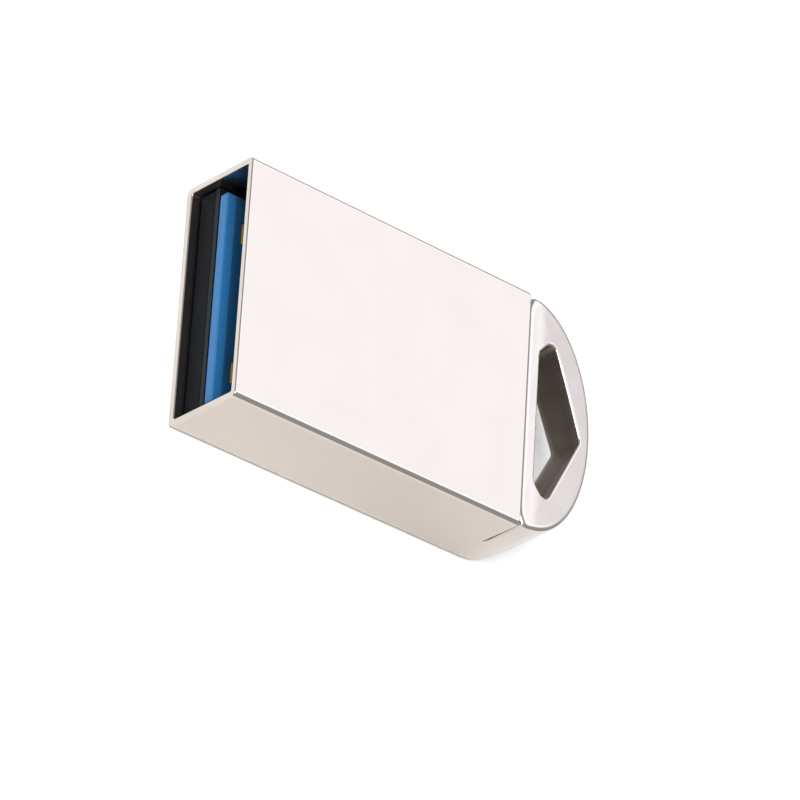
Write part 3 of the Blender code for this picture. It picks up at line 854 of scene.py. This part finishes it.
@dataclass
class KeyLoop:
    """The cast tail: a D-shaped loop with a five-sided hole and a lip behind, and a spigot in the sleeve."""

    step: float = 0.12
    slope: float = 0.11
    slope_start: float = 0.6
    slope_ease: float = 0.5
    draft: float = 0.12
    straight: float = 0.45
    shoulder: float = 0.28
    shoulder_depth: float = 0.14
    side_shoulder_depth: float = 0.07
    slit_width: float = 0.025
    side_gap: float = 0.15
    side_flare: float = 0.08
    side_start: float = 0.5
    side_blend: float = 0.4
    tight_width: float = 0.008
    edge: float = 0.25
    sweep_start: float = 1.05
    sweep_end: float = 2.8
    sweep_height: float = 2.05
    hole_edge: float = 0.12
    hole_reach: float = 0.2
    wall_tilt: float = 0.3
    hole_corners: tuple[Point, ...] = (
        (0.82, 3.2, 0.15),
        (0.82, -3.4, 0.15),
        (1.64, -4.2, 0.4),
        (3.79, -0.17, 0.35),
        (2.777, 2.039, 8.0),
        (1.72, 4.2, 0.42),
    )
    spigot_gap: float = 0.33
    spigot_root: float = 0.4
    shoulder_steps: int = 6
    seam_steps: int = 32
    flank_steps: int = 48
    corner_steps: int = 10
    edge_steps: int = 6
    face_steps: int = 28
    wall_steps: int = 6
    slit_steps: int = 3
    seam: float = field(default_factory=lambda: box_mm("plug_sleeve")[1].x)
    length: float = field(default_factory=lambda: box_mm("tail_loop")[1].x - box_mm("plug_sleeve")[1].x)
    width: float = field(default_factory=lambda: 2 * box_mm("plug_sleeve")[1].y)
    height: float = field(default_factory=lambda: box_mm("plug_sleeve")[1].z)
    sleeve: PlugSleeve = field(default_factory=PlugSleeve)

    def top(self, x: float) -> float:
        """Height of the upper face: level at first, then sloping down.

        Args:
            x: the distance from the seam.

        Returns:
            The height.
        """
        past = min(max((x - self.slope_start) / self.slope_ease, 0.0), 1.0)
        eased = self.slope_ease * past * past / 2
        beyond = max(0.0, x - self.slope_start - self.slope_ease)
        return self.height - self.step - self.slope * (eased + beyond)

    def bottom(self, x: float) -> float:
        """Height of the lower face, which sweeps up to a thin lip."""
        return self.sweep_height * smoothstep((x - self.sweep_start) / (self.sweep_end - self.sweep_start))

    def half(self) -> float:
        """Half the width of the loop's upper face at the seam."""
        return self.width / 2 - self.draft

    def hole(self) -> Outline:
        """Draw the hole: its corners joined by straight sides and rounded by arcs.

        Returns:
            The closed outline.
        """
        points = []
        count = len(self.hole_corners)
        for index, (x, y, radius) in enumerate(self.hole_corners):
            before = self.hole_corners[index - 1]
            after = self.hole_corners[(index + 1) % count]
            first = unit(before[0] - x, before[1] - y)
            second = unit(after[0] - x, after[1] - y)
            opening = math.acos(first[0] * second[0] + first[1] * second[1])
            middle = unit(first[0] + second[0], first[1] + second[1])
            distance = radius / math.sin(opening / 2)
            centre = (x + middle[0] * distance, y + middle[1] * distance)
            reach = radius / math.tan(opening / 2)
            start = math.atan2(y + first[1] * reach - centre[1], x + first[0] * reach - centre[0])
            end = math.atan2(y + second[1] * reach - centre[1], x + second[0] * reach - centre[0])
            turn = (end - start + math.pi) % (2 * math.pi) - math.pi
            for step in range(self.corner_steps + 1):
                angle = start + turn * step / self.corner_steps
                points.append((centre[0] + radius * math.cos(angle), centre[1] + radius * math.sin(angle)))
        return points

    def sides(self) -> tuple[Outline, ...]:
        """Draw the outside as three open sides.

        Returns:
            The seam, the lower flank and the upper flank.
        """
        half, reach = self.half(), self.length - self.straight
        seam = [(0.0, half * (1 - 2 * step / self.seam_steps)) for step in range(self.seam_steps + 1)]
        count = self.shoulder_steps
        straight = [(self.shoulder * step / count, -half) for step in range(count + 1)]
        lower, upper = [], []
        for angle in quarter_turn(self.flank_steps):
            back, across = self.straight + reach * math.sin(angle), half * math.cos(angle)
            lower.append((back, -across))
            upper.insert(0, (back, across))
        return seam, straight + lower, upper + [(x, -y) for x, y in reversed(straight)]

    @staticmethod
    def shares(points: Sequence[Flat]) -> list[float]:
        """Measure an open outline.

        Args:
            points: the outline.

        Returns:
            How much of the outline's length lies before each point, from 0 to 1.
        """
        lengths = [0.0]
        for first, second in zip(points, points[1:]):
            lengths.append(lengths[-1] + math.dist(first, second))
        return [length / lengths[-1] for length in lengths]

    def spread(self, points: Sequence[Flat], shares: Sequence[float]) -> list[Flat]:
        """Put points along an open outline.

        Args:
            points: the outline.
            shares: how much of the outline's length lies before each new point, from 0 to 1.

        Returns:
            The new points.
        """
        own = self.shares(points)
        found = []
        for share in shares:
            index = max(i for i in range(len(points) - 1) if own[i] <= share + SHARE_SLACK)
            past = (share - own[index]) / (own[index + 1] - own[index])
            found.append(blend(points[index], points[index + 1], past))
        return found

    def outlines(self) -> tuple[list[Flat], list[Flat]]:
        """Match the outside to the hole, point for point.

        Returns:
            The closed outlines of the outside and of the hole.
        """
        hole = self.hole()
        marks = [self.hole_corners[5], self.hole_corners[2], self.hole_corners[3]]
        starts = [min(range(len(hole)), key=lambda i: math.dist(hole[i], mark[:2])) for mark in marks]
        outer, inner = [], []
        for index, side in enumerate(self.sides()):
            length = (starts[(index + 1) % 3] - starts[index]) % len(hole)
            stretch = [hole[(starts[index] + step) % len(hole)] for step in range(length + 1)]
            outer.extend(side[:-1])
            inner.extend(self.spread(stretch, self.shares(side))[:-1])
        return outer, inner

    @staticmethod
    def outward(points: Sequence[Flat]) -> list[Flat]:
        """Find which way is out of an outline.

        Args:
            points: the outline, closed and anticlockwise.

        Returns:
            The outward direction at each point.
        """
        ways = []
        for index, _ in enumerate(points):
            before, after = points[index - 1], points[(index + 1) % len(points)]
            ways.append(unit(after[1] - before[1], before[0] - after[0]))
        return ways

    def wall_point(self, point: Flat, z: float) -> Point:
        """A point of the outer wall: drafted, with a shoulder where the seam stands open.

        Args:
            point: the outline's point.
            z: the height.

        Returns:
            The wall's point at that height.
        """
        x, y = point
        fade = 1 - min(x / self.length, 1.0)
        rise = smoothstep((z - self.sleeve.slit_end) / (self.height - self.sleeve.slit_end))
        wider = self.draft * (1 - rise) * fade
        near = smoothstep(1 - x / self.shoulder)
        wider -= self.side_shoulder_depth * near * self.sleeve.openness(z)
        beside = smoothstep((abs(y) - self.half() + self.side_start) / self.side_blend)
        width = self.slit_width + (self.side_gap + self.side_flare * rise) * beside
        gap = self.tight_width + (width - self.tight_width) * self.sleeve.openness(z)
        return x + gap * max(0.0, 1 - x), y * (1 + wider / self.half()), z

    def inset(self, point: Flat, way: Flat, seam_width: float) -> Flat:
        """How far a face lies inside the wall, at a point of the outline.

        Args:
            point: the outline's point.
            way: its outward direction.
            seam_width: how far the face keeps from the seam.

        Returns:
            The move from the wall to the face.
        """
        if point[0] < AT_SEAM:
            return seam_width, -self.edge * point[1] / self.half()
        pull = seam_width * max(0.0, 1 - point[0])
        if point[0] < self.straight:
            return pull, -math.copysign(self.edge, point[1])
        return pull - self.edge * way[0], -self.edge * way[1]

    def limits(self, x: float) -> tuple[float, float]:
        """Lowest and highest z of the flat part of the outer wall."""
        return self.bottom(x) + self.edge, self.top(x) - self.shoulder_depth

    def wall_rings(self, outer: Sequence[Flat]) -> list[Ring]:
        """Draw the outer wall from low to high, with rings close together where the seam opens.

        Args:
            outer: the outline of the outside.

        Returns:
            The rings.
        """
        low, high = self.limits(0.0)
        slit, open_z = self.sleeve.slit_end, self.sleeve.slit_end + self.sleeve.slit_blend
        levels = [low + (slit - low) * step / self.wall_steps for step in range(self.wall_steps)]
        levels += [slit + (open_z - slit) * step / self.slit_steps for step in range(self.slit_steps)]
        levels += [open_z + (high - open_z) * step / self.wall_steps for step in range(self.wall_steps + 1)]
        rings = []
        for level in levels:
            share = (level - low) / (high - low)
            limits = [self.limits(point[0]) for point in outer]
            rings.append([self.wall_point(p, b + share * (t - b)) for p, (b, t) in zip(outer, limits)])
        return rings

    def edge_rings(self, outer: Sequence[Flat], face: Sequence[Flat], upper: bool) -> list[Ring]:
        """Rings over the rounded edge between the wall and a face.

        Args:
            outer: the outline.
            face: where the face begins, point for point.
            upper: true for the upper face.

        Returns:
            The rings, from the wall's own next one to the face.
        """
        rings = []
        for angle in quarter_turn(self.edge_steps, 1):
            ring = []
            for point, flat in zip(outer, face):
                wall = self.wall_point(point, self.limits(point[0])[1 if upper else 0])
                x, y = blend(wall[:2], flat, 1 - math.cos(angle))
                drop = 1 - math.sin(angle)
                z = self.top(x) - self.shoulder_depth * drop if upper else self.bottom(x) + self.edge * drop
                ring.append((x, y, z))
            rings.append(ring)
        return rings

    def face_rings(self, start: Sequence[Flat], end: Sequence[Flat], height: Callable) -> list[Ring]:
        """Draw the upper or lower face between its two edges.

        Args:
            start: the outline that the face starts from.
            end: the outline that it ends at, point for point.
            height: gives the face's height at a distance from the seam.

        Returns:
            The rings between the two outlines.
        """
        rings = []
        for step in range(1, self.face_steps):
            flat = [blend(a, b, step / self.face_steps) for a, b in zip(start, end)]
            rings.append([(x, y, height(x)) for x, y in flat])
        return rings

    def hole_rings(self, hole: Sequence[Flat], face: Sequence[Flat]) -> list[Ring]:
        """Draw the hole: over its upper edge, down its wall and round its lower edge.

        Args:
            hole: the outline of the hole.
            face: where the faces begin round it, point for point.

        Returns:
            The rings.
        """
        rings = []
        for angle in quarter_turn(self.edge_steps):
            flat = [blend(a, b, math.sin(angle)) for a, b in zip(face, hole)]
            rings.append([(x, y, self.top(x) - self.hole_edge * (1 - math.cos(angle))) for x, y in flat])
        for step in range(1, self.wall_steps):
            share = step / self.wall_steps
            ring = []
            for x, y in hole:
                upper, lower = self.top(x) - self.hole_edge, self.bottom(x) + self.hole_edge
                ring.append((x, y, upper + (lower - upper) * share))
            rings.append(ring)
        for angle in quarter_turn(self.edge_steps):
            flat = [blend(a, b, 1 - math.cos(angle)) for a, b in zip(hole, face)]
            rings.append([(x, y, self.bottom(x) + self.hole_edge * (1 - math.sin(angle))) for x, y in flat])
        return rings

    def build(self) -> Item:
        """Build the loop with its spigot, and dress it.

        Returns:
            The loop.
        """
        outer, hole = self.outlines()
        upper, lower = [], []
        for point, way in zip(outer, self.outward(outer)):
            for flat, level, width in ((upper, self.height, self.shoulder), (lower, 0.0, self.tight_width)):
                wall, move = self.wall_point(point, level), self.inset(point, way, width)
                flat.append((wall[0] + move[0], wall[1] + move[1]))
        edge = self.hole_edge
        rim = [(p[0] + edge * w[0], p[1] + edge * w[1]) for p, w in zip(hole, self.outward(hole))]
        rings = self.wall_rings(outer) + self.edge_rings(outer, upper, True)
        rings += self.face_rings(upper, rim, self.top) + self.hole_rings(hole, rim)
        rings += self.face_rings(rim, lower, self.bottom) + self.edge_rings(outer, lower, False)[::-1]
        placed = [[(self.seam + x, y, z) for x, y, z in ring] for ring in rings]
        piece = mesh_piece("tail_key_loop", bridge(placed))
        start = (box_mm("tail_loop")[0].x, -self.width / 2 + self.spigot_gap, self.spigot_gap)
        end = (self.seam + self.spigot_root, self.width / 2 - self.spigot_gap, self.height - self.spigot_gap)
        combine(piece, [block(start, end)], Operation.JOIN)
        smooth(piece, 40)
        mark_rubbed_and_highlit_edges(piece)
        dress(piece, [SATIN_CASTING.make(), HOLE_WALL_PAINTED_SHADE.make()], ["tail_loop"])
        # Faces of the hole's wall take the second finish, darkened as painted shade
        for face in piece.data.polygons:
            x, y = face.center.x / MM - self.seam, face.center.y / MM
            beside = min(math.dist((x, y), point) for point in hole) < self.hole_reach
            face.material_index = 1 if beside and abs(face.normal.z) < self.wall_tilt else 0
        return piece


@dataclass
class ContactFrame:
    """The blue moulded plate: pockets for the flat contacts, and open slots behind for the springy ones."""

    edge: float = 0.08
    pocket_gap: float = 0.03
    cut_past: float = 0.2
    slot_start: float = 7.95
    slot_width: float = 0.9
    rows: tuple[float, ...] = (-4.0, -2.0, 0.0, 2.0, 4.0)
    flat_contacts: tuple[str, ...] = (
        "power_contact",
        "data_minus_contact",
        "data_plus_contact",
        "ground_contact",
    )
    pad_depth: float = 0.16
    leg: float = 0.36

    def outline(self) -> Outline:
        """Draw the plate from above, a comb with its slots open at the rear.

        Returns:
            The closed outline.
        """
        low, high = box_mm("contact_frame")
        start = box_mm("plug_sleeve")[0].x + self.slot_start
        points = [(high.x, low.y)]
        for row in self.rows:
            for y, inward in ((row - self.slot_width / 2, True), (row + self.slot_width / 2, False)):
                pair = [(high.x, y), (start, y)]
                points.extend(pair if inward else pair[::-1])
        return [*points, (high.x, high.y), (low.x, high.y), (low.x, low.y)]

    def build(self) -> Item:
        """Build the plate and dress it.

        Returns:
            The plate.
        """
        low, high = box_mm("contact_frame")
        piece = mesh_piece("contact_plate", prism(self.outline(), low.z, high.z, upright))
        round_edges(piece, self.edge)
        pockets = []
        for name in self.flat_contacts:
            first, last = box_mm(name)
            gap = self.pocket_gap
            right, back = last.x + gap, last.y + gap
            floor = last.z - self.pad_depth - gap
            top = (right, back, high.z + self.cut_past)
            pockets.append(block((first.x - gap, first.y - gap, floor), top))
            through = (last.x - self.leg, first.y - gap, low.z - self.cut_past)
            pockets.append(block(through, (right, back, floor + self.edge)))
        combine(piece, pockets[0::2], Operation.CUT)
        combine(piece, pockets[1::2], Operation.CUT)
        smooth(piece)
        weigh_normals(piece)
        dress(piece, [BLUE_NYLON.make()], ["contact_frame"])
        return piece


@dataclass
class FlatContact:
    """One flat USB 2 contact: a plate with its front end turned down and a leg at its rear."""

    node: str
    thickness: float = 0.15
    front: float = 0.12
    leg: float = 0.3
    edge: float = 0.02
    steps: int = 6

    def build(self, material: Material) -> Item:
        """Build the contact and dress it.

        Args:
            material: the plating.

        Returns:
            The contact.
        """
        low, high = box_mm(self.node)
        outline = [(low.x, high.z - self.thickness)]
        for angle in quarter_turn(self.steps):
            x = low.x + self.front * (1 - math.cos(angle))
            outline.append((x, high.z - self.front * (1 - math.sin(angle))))
        under = high.z - self.thickness
        outline += [(high.x, high.z), (high.x, low.z), (high.x - self.leg, low.z), (high.x - self.leg, under)]
        piece = mesh_piece(self.node + "_pad", prism(outline, low.y, high.y, lambda x, z, y: (x, y, z)))
        round_edges(piece, self.edge, 2)
        settle(piece)
        smooth(piece)
        dress(piece, [material], [self.node])
        return piece


@dataclass
class SpringContact:
    """One springy SuperSpeed contact: a strip swept along its bent path, with a rounded touching bend."""

    number: int
    width: float = 0.7
    thickness: float = 0.14
    tip_share: float = 0.8
    resolution: int = 48
    path: tuple[tuple[float, float], ...] = (
        (13.0, 0.0),
        (12.7, 0.0),
        (12.4, 0.0),
        (12.2, 0.02),
        (12.0, 0.09),
        (11.7, 0.16),
        (10.9, 0.31),
        (10.2, 0.44),
        (9.6, 0.56),
        (9.1, 0.66),
        (8.85, 0.7),
        (8.65, 0.7),
        (8.45, 0.66),
        (8.3, 0.58),
        (8.2, 0.47),
    )

    def centre_line(self) -> Item:
        """Draw the line along the strip's middle.

        Returns:
            The line, as a curve object.
        """
        node = f"super_speed_contact_{self.number}"
        low, high = box_mm(node)
        mouth = box_mm("plug_sleeve")[0].x
        row = (low.y + high.y) / 2
        root = low.z + self.thickness / 2
        curve = bpy.data.curves.new(node + "_line", "CURVE")
        curve.dimensions = "3D"
        spline = curve.splines.new("NURBS")
        spline.points.add(len(self.path) - 1)
        spline.order_u = 3
        spline.use_endpoint_u = True
        spline.resolution_u = 6
        for index, (distance, rise) in enumerate(self.path):
            spline.points[index].co = ((mouth + distance) * MM, row * MM, (root + rise) * MM, 1.0)
            spline.points[index].radius = self.tip_share if index == len(self.path) - 1 else 1.0
        line = bpy.data.objects.new(node + "_line", curve)
        bpy.context.scene.collection.objects.link(line)
        return line

    @staticmethod
    def sweep_tree(material: Material) -> bpy.types.GeometryNodeTree:
        """Tree that sweeps a rounded strip along a curve.

        Args:
            material: the strip's material.

        Returns:
            The tree, with inputs for the strip's width, thickness and resolution.
        """
        tree = bpy.data.node_groups.get("strip_sweep")
        if tree:
            return tree
        tree = bpy.data.node_groups.new("strip_sweep", "GeometryNodeTree")
        face = tree.interface
        face.new_socket("Geometry", in_out="INPUT", socket_type="NodeSocketGeometry")
        for name, kind in (("Width", "Float"), ("Thickness", "Float"), ("Resolution", "Int")):
            face.new_socket(name, in_out="INPUT", socket_type="NodeSocket" + kind)
        face.new_socket("Geometry", in_out="OUTPUT", socket_type="NodeSocketGeometry")
        given = add_node(tree, "NodeGroupInput").outputs
        evenly = {"Curve": given["Geometry"], "Count": given["Resolution"]}
        line = add_node(tree, "GeometryNodeResampleCurve", evenly)
        sizes = {"Width": given["Width"], "Height": given["Thickness"]}
        shape = add_node(tree, "GeometryNodeCurvePrimitiveQuadrilateral", sizes)
        shares = {0: given["Thickness"], 1: EDGE_SHARE}
        radius = add_node(tree, "ShaderNodeMath", shares, operation="MULTIPLY")
        rounding = {"Curve": shape.outputs["Curve"], "Radius": radius.outputs[0], "Count": 3}
        profile = add_node(tree, "GeometryNodeFilletCurve", rounding, mode="POLY")
        level = add_node(tree, "GeometryNodeSetCurveNormal", {"Curve": line.outputs["Curve"]}, mode="Z_UP")
        swept = {"Curve": level.outputs["Curve"], "Profile Curve": profile.outputs["Curve"]}
        swept["Fill Caps"] = True
        strip = add_node(tree, "GeometryNodeCurveToMesh", swept)
        plain = add_node(tree, "GeometryNodeRealizeInstances", {"Geometry": strip.outputs["Mesh"]})
        given_material = {"Geometry": plain.outputs["Geometry"], "Material": material}
        dressed = add_node(tree, "GeometryNodeSetMaterial", given_material)
        add_node(tree, "NodeGroupOutput", {"Geometry": dressed.outputs["Geometry"]})
        return tree

    def build(self, material: Material) -> Item:
        """Sweep the strip, turn it into a plain mesh and dress it.

        Args:
            material: the plating.

        Returns:
            The contact.
        """
        line = self.centre_line()
        tree = self.sweep_tree(material)
        modifier = line.modifiers.new("sweep", "NODES")
        modifier.node_group = tree
        sizes = {"Width": self.width * MM, "Thickness": self.thickness * MM, "Resolution": self.resolution}
        for socket in tree.interface.items_tree:
            if socket.in_out == "INPUT" and socket.name in sizes:
                modifier[socket.identifier] = sizes[socket.name]
        graph = bpy.context.evaluated_depsgraph_get()
        mesh = bpy.data.meshes.new_from_object(line.evaluated_get(graph))
        bpy.data.objects.remove(line)
        piece = bpy.data.objects.new(f"super_speed_contact_{self.number}_spring", mesh)
        bpy.context.scene.collection.objects.link(piece)
        smooth(piece)
        dress(piece, [material], [f"super_speed_contact_{self.number}"])
        return piece


@dataclass
class MemoryModule:
    """The black module under the plate: a mould round its chips, its laminate, and the tape that holds it."""

    edge: float = 0.06
    gap: float = 0.03
    cut_past: float = 0.2
    stack: tuple[str, ...] = ("nand_die_1", "nand_die_2", "nand_die_3", "nand_die_4")
    capacitors: tuple[str, ...] = tuple(f"decoupling_capacitor_{number}" for number in range(1, 5))
    resistors: tuple[str, ...] = ("resistor_1", "resistor_2")
    capacitor_colour: str = "#a37a55"
    capacitor_cap: float = 0.24
    resistor_colour: str = "#1c1b1b"
    resistor_cap: float = 0.12
    chip_roughness: float = 0.4

    def pocket(self, nodes: Sequence[str]) -> Solid:
        """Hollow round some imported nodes, open at the mould's top.

        Args:
            nodes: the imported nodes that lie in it.

        Returns:
            The hollow, as a solid.
        """
        boxes = [box_mm(node) for node in nodes]
        low = [min(box[0][axis] for box in boxes) - self.gap for axis in range(3)]
        high = [max(box[1][axis] for box in boxes) + self.gap for axis in range(3)]
        return block(low, (high[0], high[1], high[2] + self.cut_past))

    def build(self) -> list[Item]:
        """Build the mould, and dress everything in and on it.

        Returns:
            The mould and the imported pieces.
        """
        piece = mesh_piece("memory_module_mould", block(*box_mm("memory_mould")))
        round_edges(piece, self.edge)
        single = ("controller_die", "crystal", *self.capacitors, *self.resistors)
        combine(piece, [self.pocket(self.stack), *(self.pocket([node]) for node in single)], Operation.CUT)
        smooth(piece)
        weigh_normals(piece)
        dress(piece, [BLACK_EPOXY.make()], ["memory_mould"])
        pieces = [
            piece,
            repaint("memory_substrate", LAMINATE.make()),
            repaint("module_tape", AMBER_TAPE.make()),
            repaint("crystal", CRYSTAL_LID.make()),
        ]
        silicon = SILICON.make()
        pieces += [repaint(node, silicon) for node in ("controller_die", *self.stack)]
        pieces += [self.tin(node, self.capacitor_colour, self.capacitor_cap) for node in self.capacitors]
        pieces += [self.tin(node, self.resistor_colour, self.resistor_cap) for node in self.resistors]
        return pieces

    def tin(self, node: str, colour: str, cap: float) -> Item:
        """Dress a packed chip, with a tinned cap at each end.

        Args:
            node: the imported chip's name.
            colour: the chip's own colour.
            cap: the length of a cap.

        Returns:
            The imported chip.
        """
        low, high = box_mm(node)
        middle, length = (low.x + high.x) / 2, high.x - low.x
        finish = TinnedChip(
            f"tinned_{node}", colour, self.chip_roughness, centre=middle, length=length, cap=cap
        )
        return repaint(node, finish.make())


@dataclass
class RearRetainer:
    """The black block behind the contacts that closes the sleeve's inside."""

    node: str = "rear_retainer"

    def build(self) -> Item:
        """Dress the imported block."""
        return repaint(self.node, BLACK_ABS.make())


# Studio


def direction(azimuth: float, elevation: float) -> Vector:
    """The way towards an azimuth, in degrees from +X towards +Y, and an elevation above the floor."""
    around, up = math.radians(azimuth), math.radians(elevation)
    return Vector((math.cos(around) * math.cos(up), math.sin(around) * math.cos(up), math.sin(up)))


def face(item: Item, place: Vector, way: Vector, roll: float = 0.0) -> None:
    """Link a light or camera, and turn it.

    Args:
        item: the light or camera.
        place: where it stands.
        way: the way it looks.
        roll: the turn about its line of sight, in degrees.
    """
    item.location = place
    item.rotation_mode = "QUATERNION"
    item.rotation_quaternion = way.to_track_quat("-Z", "Y") @ Quaternion((0.0, 0.0, 1.0), math.radians(roll))
    bpy.context.scene.collection.objects.link(item)


@dataclass(frozen=True)
class Softbox:
    """A soft studio light that faces the drive from a direction, with an even glow."""

    name: str
    azimuth: float
    elevation: float
    distance: float
    size: tuple[float, float]
    glow: float
    colour: str = "#ffffff"

    def build(self) -> None:
        """Place the light."""
        light = bpy.data.lights.new(self.name, "AREA")
        light.shape = "RECTANGLE"
        light.size, light.size_y = self.size
        light.energy = self.glow * math.pi * self.size[0] * self.size[1]
        light.color = linear(self.colour)[:3]
        item = bpy.data.objects.new(self.name, light)
        way = direction(self.azimuth, self.elevation)
        face(item, way * self.distance, -way)


@dataclass(frozen=True)
class Snoot:
    """A narrow spot that reaches into the plug's mouth."""

    name: str
    azimuth: float
    elevation: float
    distance: float
    aim: Point
    cone: float
    power: float
    radius: float = 0.008
    softness: float = 0.2

    def build(self) -> None:
        """Place the light."""
        light = bpy.data.lights.new(self.name, "SPOT")
        light.energy = self.power
        light.spot_size = math.radians(self.cone)
        light.spot_blend = self.softness
        light.shadow_soft_size = self.radius
        item = bpy.data.objects.new(self.name, light)
        way = direction(self.azimuth, self.elevation)
        face(item, Vector(self.aim) * MM + way * self.distance, -way)


@dataclass
class Studio:
    """White paper, a pale surround, soft lights and the camera."""

    floor_size: float = 1.6
    floor_gap: float = 0.00002
    base_glow: float = 0.46
    base_colour: str = "#fdfdff"
    softboxes: tuple[Softbox, ...] = (
        Softbox("face_softbox", 40.0, 47.0, 0.5, (0.36, 0.3), 1.22, "#eef5ff"),
        Softbox("wide_softbox", 40.0, 40.0, 0.55, (0.5, 0.5), 0.42, "#f7f9ff"),
        Softbox("floor_softbox", -140.0, 68.0, 0.5, (0.3, 0.3), 7.7),
    )
    snoot: Snoot = Snoot("mouth_snoot", 180.0, 63.0, 0.5, (-10.0, 0.0, 2.6), 1.6, 5.8)
    aim: Point = (0.66, -0.96, 2.14)
    azimuth: float = -50.66
    elevation: float = 42.6
    roll: float = 64.53
    distance: float = 251.54
    lens: float = 251.62
    sensor: float = 36.0
    clip: tuple[float, float] = (0.005, 10.0)

    def floor(self) -> None:
        """Lay the paper just under the drive."""
        half = self.floor_size / 2
        mesh = bpy.data.meshes.new("studio_floor")
        corners = [(-half, -half), (half, -half), (half, half), (-half, half)]
        mesh.from_pydata([(x, y, -self.floor_gap) for x, y in corners], [], [(0, 1, 2, 3)])
        item = bpy.data.objects.new("studio_floor", mesh)
        mesh.materials.append(PAPER.make())
        bpy.context.scene.collection.objects.link(item)

    def surround(self) -> None:
        """Light the drive evenly from all round."""
        world = bpy.data.worlds.new("pale_surround")
        world.use_nodes = True
        shader = world.node_tree.nodes["Background"]
        shader.inputs["Color"].default_value = linear(self.base_colour)
        shader.inputs["Strength"].default_value = self.base_glow
        bpy.context.scene.world = world

    def camera(self) -> None:
        """Place the camera on its line of sight."""
        data = bpy.data.cameras.new("studio_camera")
        data.sensor_width = self.sensor
        data.lens = self.lens
        data.clip_start, data.clip_end = self.clip
        item = bpy.data.objects.new("studio_camera", data)
        around, up = math.radians(self.azimuth), math.radians(self.elevation)
        back = Vector((math.sin(around) * math.cos(up), -math.cos(around) * math.cos(up), math.sin(up)))
        face(item, Vector(self.aim) * MM + back * self.distance * MM, -back, self.roll)
        bpy.context.scene.camera = item

    def build(self) -> None:
        """Set up the whole studio."""
        self.floor()
        self.surround()
        for softbox in self.softboxes:
            softbox.build()
        self.snoot.build()
        self.camera()
        bpy.context.scene.view_settings.view_transform = "Standard"


def main() -> None:
    """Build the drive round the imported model, report each piece and set up the studio."""
    logging.basicConfig(level=logging.INFO, format="%(name)s: %(message)s")
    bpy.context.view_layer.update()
    pieces = [PlugSleeve().build(), KeyLoop().build(), ContactFrame().build()]
    gold = GOLD.make()
    pieces += [FlatContact(node).build(gold) for node in ContactFrame().flat_contacts]
    pieces += [SpringContact(number).build(gold) for number in range(1, SPRING_COUNT + 1)]
    pieces += [*MemoryModule().build(), RearRetainer().build()]
    for piece in pieces:
        LOG.info("%s: %d faces, %s", piece.name, len(piece.data.polygons), piece.material_slots[0].name)
    Studio().build()


if __name__ == "__main__":
    main()
